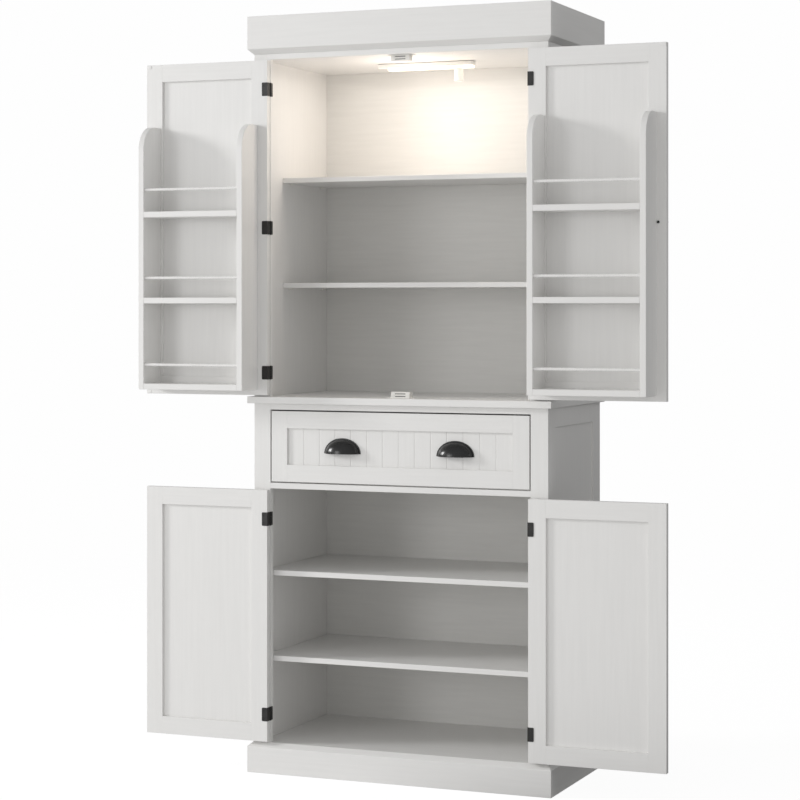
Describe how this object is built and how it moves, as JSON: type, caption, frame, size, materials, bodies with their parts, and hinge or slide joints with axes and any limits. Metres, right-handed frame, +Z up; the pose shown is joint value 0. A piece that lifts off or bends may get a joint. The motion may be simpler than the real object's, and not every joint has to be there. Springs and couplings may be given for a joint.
{
  "type": "kitchen cabinet",
  "caption": "Tall white kitchen cabinet with framed doors above and below, racks on the upper doors, a beaded drawer with cup pulls, adjustable shelves and an inside lamp.",
  "frame": {"origin": "on the floor, under the middle of the whole at rest, with all doors open flat and the drawer closed", "axes": "+X to the right seen from the front, +Y towards the wall, +Z up; the doors and drawer face -Y"},
  "size_m": [1.3, 0.4954, 1.8],
  "materials": {
    "white_lacquer": "white satin lacquer on MDF",
    "back_board": "thin white-faced hardboard",
    "black_satin": "black satin powder coat on steel",
    "black_pull": "black satin enamel on cast zinc",
    "hinge_pin_steel": "blackened steel pin",
    "white_rod": "white enamelled steel rod",
    "white_plastic": "moulded white ABS",
    "frosted_diffuser": "frosted diffuser, lit warm white",
    "pole_steel": "plain steel pole plates",
    "ferrite": "black ferrite",
    "white_steel": "white painted steel",
    "zinc_steel": "zinc plated steel"
  },
  "bodies": {
    "cabinet": {"bottom_panel": "white_lacquer", "catch_bodies": "white_plastic", "catch_magnets": "ferrite", "catch_pole_plates": "pole_steel", "ceiling_panel": "white_lacquer", "cornice_boards": "white_lacquer", "face_frame_rails": "white_lacquer", "face_frame_stiles": "white_lacquer", "hinge_frame_leaves": "black_satin", "hinge_pins": "hinge_pin_steel", "lamp_diffuser": "frosted_diffuser", "lamp_housing": "white_plastic", "lamp_sensor": "white_plastic", "lower_back": "back_board", "lower_left_side": "white_lacquer", "lower_right_side": "white_lacquer", "lower_shelves": "white_lacquer", "middle_board": "white_lacquer", "plinth_boards": "white_lacquer", "rear_rail": "white_lacquer", "runner_channels": "zinc_steel", "runner_spacers": "white_lacquer", "shelf_supports": "white_plastic", "top_board": "white_lacquer", "upper_back": "back_board", "upper_left_side": "white_lacquer", "upper_right_side": "white_lacquer", "upper_shelves": "white_lacquer"},
    "upper_left_door": {"upper_left_door_frame": "white_lacquer", "upper_left_door_hinge_leaves": "black_satin", "upper_left_door_knob": "black_pull", "upper_left_door_panel": "white_lacquer", "upper_left_door_rack_rods": "white_rod", "upper_left_door_rack_shelves": "white_lacquer", "upper_left_door_rack_sides": "white_lacquer", "upper_left_door_strike_plates": "white_steel"},
    "upper_right_door": {"upper_right_door_frame": "white_lacquer", "upper_right_door_hinge_leaves": "black_satin", "upper_right_door_knob": "black_pull", "upper_right_door_panel": "white_lacquer", "upper_right_door_rack_rods": "white_rod", "upper_right_door_rack_shelves": "white_lacquer", "upper_right_door_rack_sides": "white_lacquer", "upper_right_door_strike_plates": "white_steel"},
    "lower_left_door": {"lower_left_door_frame": "white_lacquer", "lower_left_door_hinge_leaves": "black_satin", "lower_left_door_knob": "black_pull", "lower_left_door_panel": "white_lacquer"},
    "lower_right_door": {"lower_right_door_frame": "white_lacquer", "lower_right_door_hinge_leaves": "black_satin", "lower_right_door_knob": "black_pull", "lower_right_door_panel": "white_lacquer"},
    "drawer": {"cup_pulls": "black_pull", "drawer_bottom": "back_board", "drawer_box_ends": "white_lacquer", "drawer_box_sides": "white_lacquer", "drawer_front_frame": "white_lacquer", "drawer_front_panel": "white_lacquer", "drawer_runner_slides": "zinc_steel", "pull_screws": "zinc_steel"}
  },
  "joints": [
    {"name": "upper_left_door_hinge", "type": "hinge", "parent": "cabinet", "child": "upper_left_door", "pos_m": [-0.3255, -0.14725, 1.296], "axis": [0, 0, 1], "range_deg": [0, 180]},
    {"name": "upper_right_door_hinge", "type": "hinge", "parent": "cabinet", "child": "upper_right_door", "pos_m": [0.3255, -0.14725, 1.296], "axis": [0, 0, -1], "range_deg": [0, 180]},
    {"name": "lower_left_door_hinge", "type": "hinge", "parent": "cabinet", "child": "lower_left_door", "pos_m": [-0.3255, -0.14725, 0.375], "axis": [0, 0, 1], "range_deg": [0, 180]},
    {"name": "lower_right_door_hinge", "type": "hinge", "parent": "cabinet", "child": "lower_right_door", "pos_m": [0.3255, -0.14725, 0.375], "axis": [0, 0, -1], "range_deg": [0, 180]},
    {"name": "drawer_slide", "type": "slide", "parent": "cabinet", "child": "drawer", "axis": [0, -1, 0], "range_m": [0, 0.25]}
  ]
}
